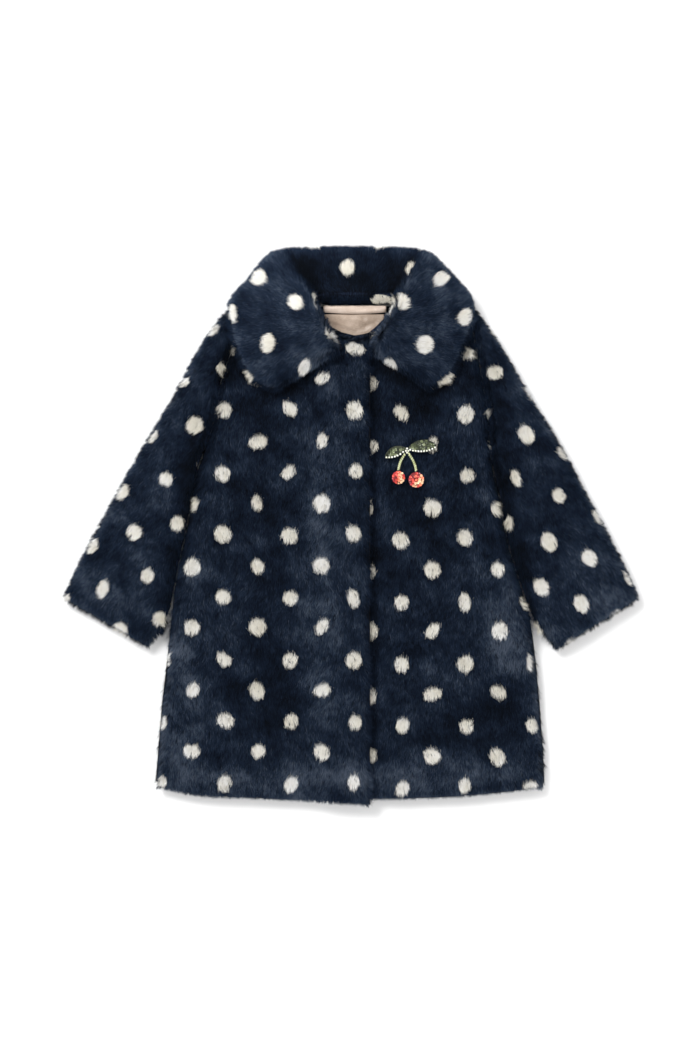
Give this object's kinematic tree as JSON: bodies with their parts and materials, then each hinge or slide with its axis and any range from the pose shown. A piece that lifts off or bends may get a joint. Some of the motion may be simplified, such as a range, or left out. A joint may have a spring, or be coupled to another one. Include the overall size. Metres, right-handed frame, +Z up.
{
  "type": "faux fur coat",
  "caption": "Child's faux-fur coat with a turned-down collar, spotted pile and a beaded cherry ornament, laid flat with its front up.",
  "frame": {"origin": "on the surface the coat lies on, under the middle of its bounding box", "axes": "+X to the viewer's right across the coat from cuff to cuff, +Y from the hem to the collar, +Z up out of the coat's front"},
  "size_m": [0.607, 0.5863, 0.0419],
  "materials": {
    "navy_fur": "deep-pile acrylic faux fur, navy with cream spots",
    "satin": "beige satin lining and tape",
    "green_sequins": "olive green sequins",
    "green_beads": "pale green glass-like beads",
    "red_sequins": "coral and red sequins"
  },
  "bodies": {
    "root": {"back": "navy_fur", "front_right": "navy_fur", "front_left": "navy_fur", "sleeve_right": "navy_fur", "sleeve_left": "navy_fur", "collar": "navy_fur", "neck_band": "satin", "lining": "satin", "leaf_right": "green_sequins", "leaf_left": "green_sequins", "stem_right": "green_beads", "stem_left": "green_beads", "cherry_right": "red_sequins", "cherry_left": "red_sequins"}
  },
  "joints": []
}
